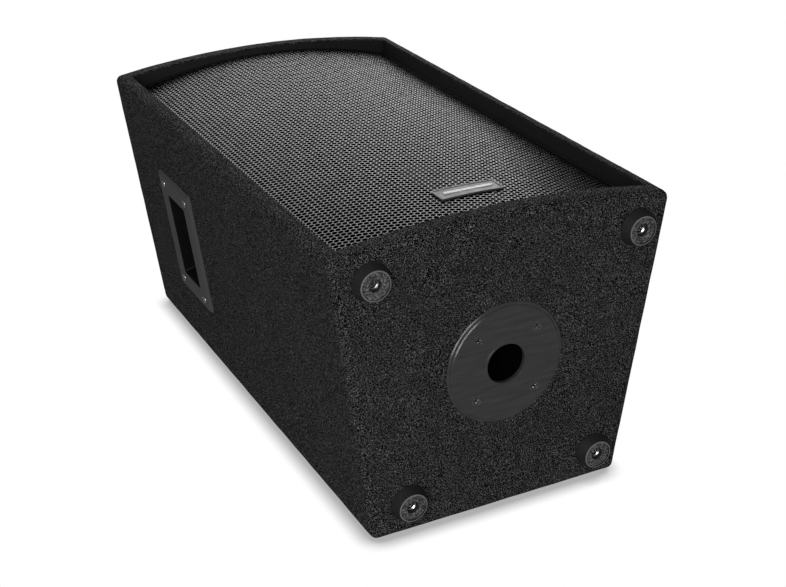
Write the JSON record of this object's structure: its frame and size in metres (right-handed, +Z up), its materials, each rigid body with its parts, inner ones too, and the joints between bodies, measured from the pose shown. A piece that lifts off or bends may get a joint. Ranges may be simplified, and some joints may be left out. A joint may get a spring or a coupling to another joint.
{
  "type": "loudspeaker cabinet",
  "caption": "Carpeted two-way stage loudspeaker cabinet, tapered towards the back, with a bowed perforated grille, pocket handles, rubber feet and a pole socket underneath.",
  "frame": {"origin": "centre of the footprint, on the plane that the four feet stand on", "axes": "+Z up, -Y towards the grille side, +X to the right seen from the front"},
  "size_m": [0.3182, 0.283, 0.534],
  "materials": {
    "carpet": "napped, near black with light flecks",
    "board": "raw plywood, painted black where it shows",
    "grille_steel": "satin powder coat",
    "foam": "open-cell foam",
    "badge": "fine texture",
    "black_plastic": "moulded, fine texture",
    "black_steel": "satin powder coat",
    "dark_zinc": "black zinc plated",
    "bright_steel": "zinc plated",
    "rubber": "matt",
    "cone_paper": "pressed paper pulp",
    "cloth": "impregnated cloth",
    "ferrite": "matt sintered",
    "copper": "enamelled wire",
    "titanium": "thin formed foil",
    "plug": "moulded",
    "board_resin": "solder resist",
    "capacitor": "sleeved film",
    "wire": "insulated",
    "wadding": "soft fibre"
  },
  "bodies": {
    "cabinet": {"badge_plate": "badge", "baffle": "board", "capacitors": "capacitor", "carpet_back": "carpet", "carpet_wrap": "carpet", "crossover_board": "board_resin", "crossover_posts": "bright_steel", "driver_cover": "black_plastic", "driver_magnet": "ferrite", "driver_phase_plug": "plug", "driver_pole_plate": "black_steel", "driver_top_plate": "black_steel", "foot_back_left": "rubber", "foot_back_right": "rubber", "foot_front_left": "rubber", "foot_front_right": "rubber", "foot_screws": "dark_zinc", "foot_washers": "bright_steel", "grille": "grille_steel", "grille_battens": "board", "grille_foam": "foam", "handle_left": "black_plastic", "handle_right": "black_plastic", "handle_screws": "dark_zinc", "horn_flare": "black_plastic", "horn_screws": "black_steel", "inductors": "copper", "jack_sockets": "black_plastic", "panel_back": "board", "panel_bottom": "board", "panel_left": "board", "panel_right": "board", "panel_top": "board", "pole_socket": "black_steel", "pole_socket_screws": "dark_zinc", "port_tubes": "black_plastic", "speaker_connectors": "black_plastic", "terminal_dish": "black_plastic", "terminal_screws": "bright_steel", "wadding": "wadding", "wire_input": "wire", "wire_tweeter": "wire", "wire_woofer": "wire", "woofer_basket": "black_steel", "woofer_bolts": "black_steel", "woofer_gasket": "rubber", "woofer_magnet": "ferrite", "woofer_pole_piece": "bright_steel", "woofer_tee_nuts": "bright_steel", "woofer_terminals": "black_plastic", "woofer_top_plate": "bright_steel"},
    "woofer_moving": {"woofer_cone": "cone_paper", "woofer_dust_cap": "cone_paper", "woofer_voice_coil": "copper", "woofer_surround": "cloth", "woofer_spider": "cloth", "woofer_tinsel_leads": "copper"},
    "driver_moving": {"driver_diaphragm": "titanium", "driver_suspension": "cloth"}
  },
  "joints": [
    {"name": "woofer_excursion", "type": "slide", "parent": "cabinet", "child": "woofer_moving", "axis": [0, -1, 0], "range_m": [-0.004, 0.004], "stiffness_N_per_m": 2500, "deforming": ["woofer_surround", "woofer_spider", "woofer_tinsel_leads"]},
    {"name": "driver_excursion", "type": "slide", "parent": "cabinet", "child": "driver_moving", "axis": [0, -1, 0], "range_m": [-0.0003, 0.0003], "stiffness_N_per_m": 2000, "deforming": ["driver_suspension"]}
  ]
}
